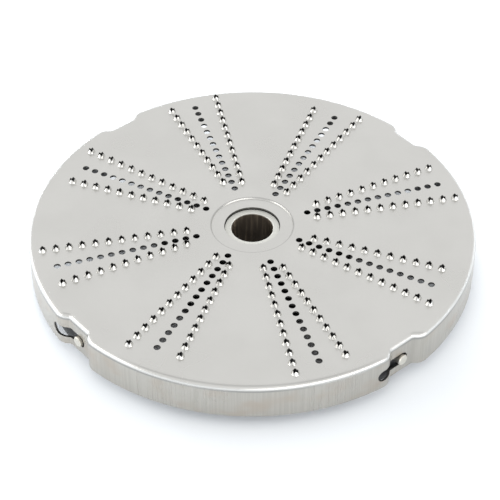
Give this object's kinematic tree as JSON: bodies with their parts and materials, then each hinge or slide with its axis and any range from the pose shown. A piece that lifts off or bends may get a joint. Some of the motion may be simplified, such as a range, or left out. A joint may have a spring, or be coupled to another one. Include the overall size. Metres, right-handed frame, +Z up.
{
  "type": "food processor grating disc",
  "caption": "Round pressed-steel grating disc with radial rows of pierced teeth and round holes, twist-locked by rim pins onto a hub carrier that drops on a drive shaft.",
  "frame": {"origin": "centre of the shaft bore at the hub's foot, the surface that the part stands on", "axes": "+Z up along the shaft towards the teeth; +X and +Y along the carrier's arms, out to the lock pins"},
  "size_m": [0.2036, 0.2036, 0.0252],
  "materials": {
    "pressed_steel": "satin brushed",
    "turned_steel": "turned",
    "cast_aluminium": "cast"
  },
  "bodies": {
    "carrier": {"hub_bush": "turned_steel", "carrier_spider": "cast_aluminium", "lock_pin_1": "turned_steel", "lock_pin_2": "turned_steel", "lock_pin_3": "turned_steel", "lock_pin_4": "turned_steel"},
    "pan": {"grating_pan": "pressed_steel"}
  },
  "joints": [
    {"name": "bayonet_twist", "type": "hinge", "parent": "carrier", "child": "pan", "pos_m": [0, 0, 0.012], "axis": [0, 0, 1], "range_deg": [0, 9]}
  ]
}
